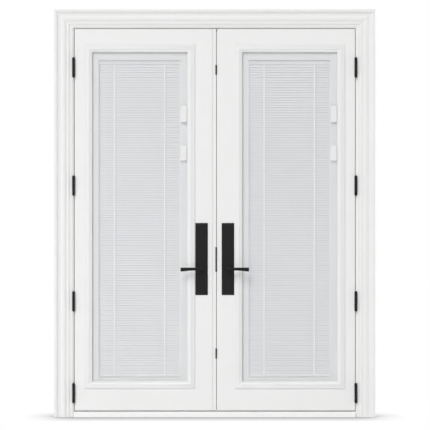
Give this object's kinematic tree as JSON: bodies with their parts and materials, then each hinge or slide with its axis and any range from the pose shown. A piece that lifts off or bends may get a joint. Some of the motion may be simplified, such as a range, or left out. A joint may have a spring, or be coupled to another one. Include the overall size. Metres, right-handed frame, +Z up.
{
  "type": "double entry door",
  "caption": "Pair of white glazed steel entry doors in a moulded frame, with blinds between the panes, black lever handles on long plates, hinges, lock and sill.",
  "frame": {"origin": "on the floor under the sill, midway between the jambs, in the plane of the leaves' room faces", "axes": "+X to the right seen from the room, +Y to the outside, +Z up"},
  "size_m": [2.035, 0.2, 2.5865],
  "materials": {
    "leaf_paint": "satin",
    "frame_paint": "satin paint",
    "moulding": "satin",
    "astragal_paint": "satin paint",
    "sill_vinyl": "satin",
    "threshold_grey": "satin",
    "seal": "matte",
    "sweep": "matte",
    "foam": "matte",
    "glass": "clear",
    "cassette": "matte",
    "slat": "satin paint",
    "slider": "satin",
    "hardware": "satin black",
    "bolt_steel": "satin"
  },
  "bodies": {
    "frame": {"left_jamb": "frame_paint", "right_jamb": "frame_paint", "head_jamb": "frame_paint", "sill": "sill_vinyl", "threshold": "threshold_grey", "left_casing": "frame_paint", "right_casing": "frame_paint", "head_casing": "frame_paint", "side_seals": "seal", "head_seal": "seal", "frame_hinge_leaves": "hardware", "hinge_pins": "hardware", "head_strike": "hardware"},
    "left_leaf": {"left_inner_skin": "leaf_paint", "left_outer_skin": "leaf_paint", "left_core": "foam", "left_sweep": "sweep", "left_leaf_hinges": "hardware", "left_inner_lite_frame": "moulding", "left_outer_lite_frame": "moulding", "left_inner_glass": "glass", "left_outer_glass": "glass", "left_cassette": "cassette", "left_headrail": "slat", "left_slats": "slat", "left_inner_plate": "hardware", "left_outer_plate": "hardware", "left_lock": "bolt_steel", "astragal": "astragal_paint", "astragal_seal": "seal", "astragal_strikes": "hardware"},
    "right_leaf": {"right_inner_skin": "leaf_paint", "right_outer_skin": "leaf_paint", "right_core": "foam", "right_sweep": "sweep", "right_leaf_hinges": "hardware", "right_inner_lite_frame": "moulding", "right_outer_lite_frame": "moulding", "right_inner_glass": "glass", "right_outer_glass": "glass", "right_cassette": "cassette", "right_headrail": "slat", "right_slats": "slat", "right_inner_plate": "hardware", "right_outer_plate": "hardware", "right_lock": "hardware"},
    "left_lever": {"left_inner_lever": "hardware", "left_outer_lever": "hardware"},
    "right_lever": {"right_inner_lever": "hardware", "right_outer_lever": "hardware"},
    "top_shoot_bolt": {"top_bolt": "bolt_steel"},
    "bottom_shoot_bolt": {"bottom_bolt": "bolt_steel"},
    "dead_bolt": {"deadbolt": "bolt_steel"},
    "tongue_bolts": {"tongues": "bolt_steel"},
    "left_blind_bar": {"left_bottom_bar": "slat"},
    "left_tilt": {"left_tilt_slider": "slider"},
    "left_lift": {"left_lift_slider": "slider"},
    "right_blind_bar": {"right_bottom_bar": "slat"},
    "right_tilt": {"right_tilt_slider": "slider"},
    "right_lift": {"right_lift_slider": "slider"}
  },
  "joints": [
    {"name": "left_leaf_swing", "type": "hinge", "parent": "frame", "child": "left_leaf", "pos_m": [-0.895, -0.0095, 1.25], "axis": [0, 0, -1], "range_deg": [0, 110]},
    {"name": "left_lever_turn", "type": "hinge", "parent": "left_leaf", "child": "left_lever", "pos_m": [-0.0835, 0, 0.941], "axis": [0, 1, 0], "range_deg": [-45, 45], "stiffness_Nm_per_rad": 8},
    {"name": "left_tilt_slide", "type": "slide", "parent": "left_leaf", "child": "left_tilt", "axis": [0, 0, 1], "range_m": [-0.03, 0.03]},
    {"name": "left_blind_lift", "type": "slide", "parent": "left_leaf", "child": "left_blind_bar", "axis": [0, 0, 1], "range_m": [0, 1.84], "deforming": ["left_slats"]},
    {"name": "left_lift_slide", "type": "slide", "parent": "left_leaf", "child": "left_lift", "axis": [0, 0, 1], "range_m": [-0.92, 0]},
    {"name": "right_leaf_swing", "type": "hinge", "parent": "frame", "child": "right_leaf", "pos_m": [0.895, -0.0095, 1.25], "axis": [0, 0, 1], "range_deg": [0, 110]},
    {"name": "right_lever_turn", "type": "hinge", "parent": "right_leaf", "child": "right_lever", "pos_m": [0.0835, 0, 0.941], "axis": [0, -1, 0], "range_deg": [-45, 45], "stiffness_Nm_per_rad": 8},
    {"name": "right_tilt_slide", "type": "slide", "parent": "right_leaf", "child": "right_tilt", "axis": [0, 0, 1], "range_m": [-0.03, 0.03]},
    {"name": "right_blind_lift", "type": "slide", "parent": "right_leaf", "child": "right_blind_bar", "axis": [0, 0, 1], "range_m": [0, 1.84], "deforming": ["right_slats"]},
    {"name": "right_lift_slide", "type": "slide", "parent": "right_leaf", "child": "right_lift", "axis": [0, 0, 1], "range_m": [-0.92, 0]},
    {"name": "top_bolt_throw", "type": "slide", "parent": "left_leaf", "child": "top_shoot_bolt", "axis": [0, 0, 1], "range_m": [-0.02, 0.02]},
    {"name": "bottom_bolt_throw", "type": "slide", "parent": "left_leaf", "child": "bottom_shoot_bolt", "axis": [0, 0, -1], "range_m": [-0.02, 0.02]},
    {"name": "deadbolt_throw", "type": "slide", "parent": "right_leaf", "child": "dead_bolt", "axis": [-1, 0, 0], "range_m": [-0.02, 0.02]},
    {"name": "tongue_throw", "type": "slide", "parent": "right_leaf", "child": "tongue_bolts", "axis": [-1, 0, 0], "range_m": [-0.02, 0.02]}
  ],
  "couplings": [
    {"joint": "left_lift_slide", "follows": "left_blind_lift", "ratio": -0.5},
    {"joint": "right_lift_slide", "follows": "right_blind_lift", "ratio": -0.5},
    {"joint": "top_bolt_throw", "follows": "left_lever_turn", "m_per_rad": 0.02546},
    {"joint": "bottom_bolt_throw", "follows": "left_lever_turn", "m_per_rad": 0.02546},
    {"joint": "deadbolt_throw", "follows": "right_lever_turn", "m_per_rad": 0.02546},
    {"joint": "tongue_throw", "follows": "right_lever_turn", "m_per_rad": 0.02546}
  ]
}
